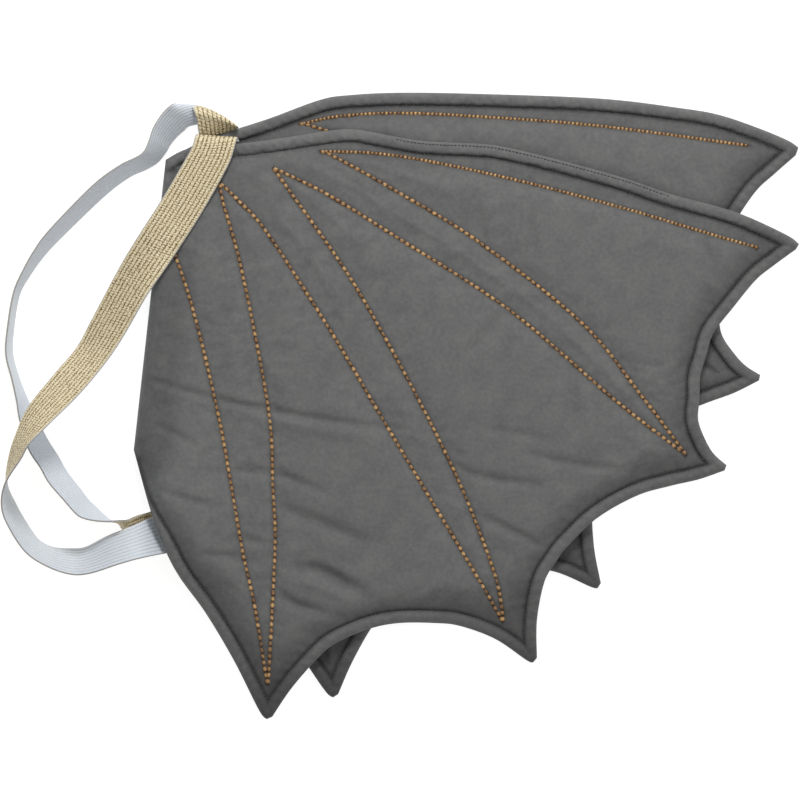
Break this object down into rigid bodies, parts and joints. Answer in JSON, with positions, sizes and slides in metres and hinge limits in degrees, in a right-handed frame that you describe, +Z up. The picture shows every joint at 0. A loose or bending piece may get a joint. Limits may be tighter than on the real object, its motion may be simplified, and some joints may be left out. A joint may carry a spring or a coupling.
{
  "type": "dragon wings",
  "caption": "Pair of quilted cloth dragon wings for a child's costume, folded in two along the spine, with elastic arm straps in open loops.",
  "frame": {"origin": "middle of the footprint, on the surface that the folded wings lie on", "axes": "+X from the spine fold towards the wing tips, +Y towards the wings' top edge, +Z up"},
  "size_m": [0.4786, 0.3756, 0.0486],
  "materials": {
    "wing_cloth": "matt quilted cotton",
    "glitter_elastic": "gold glitter face, ribbed",
    "elastic_back": "pale ribbed elastic",
    "bone_thread": "bronze satin stitch",
    "edge_thread": "grey topstitch"
  },
  "bodies": {
    "root": {"lower_wing": "wing_cloth", "upper_wing": "wing_cloth", "lower_strap": "glitter_elastic", "upper_strap": "glitter_elastic"}
  },
  "joints": []
}
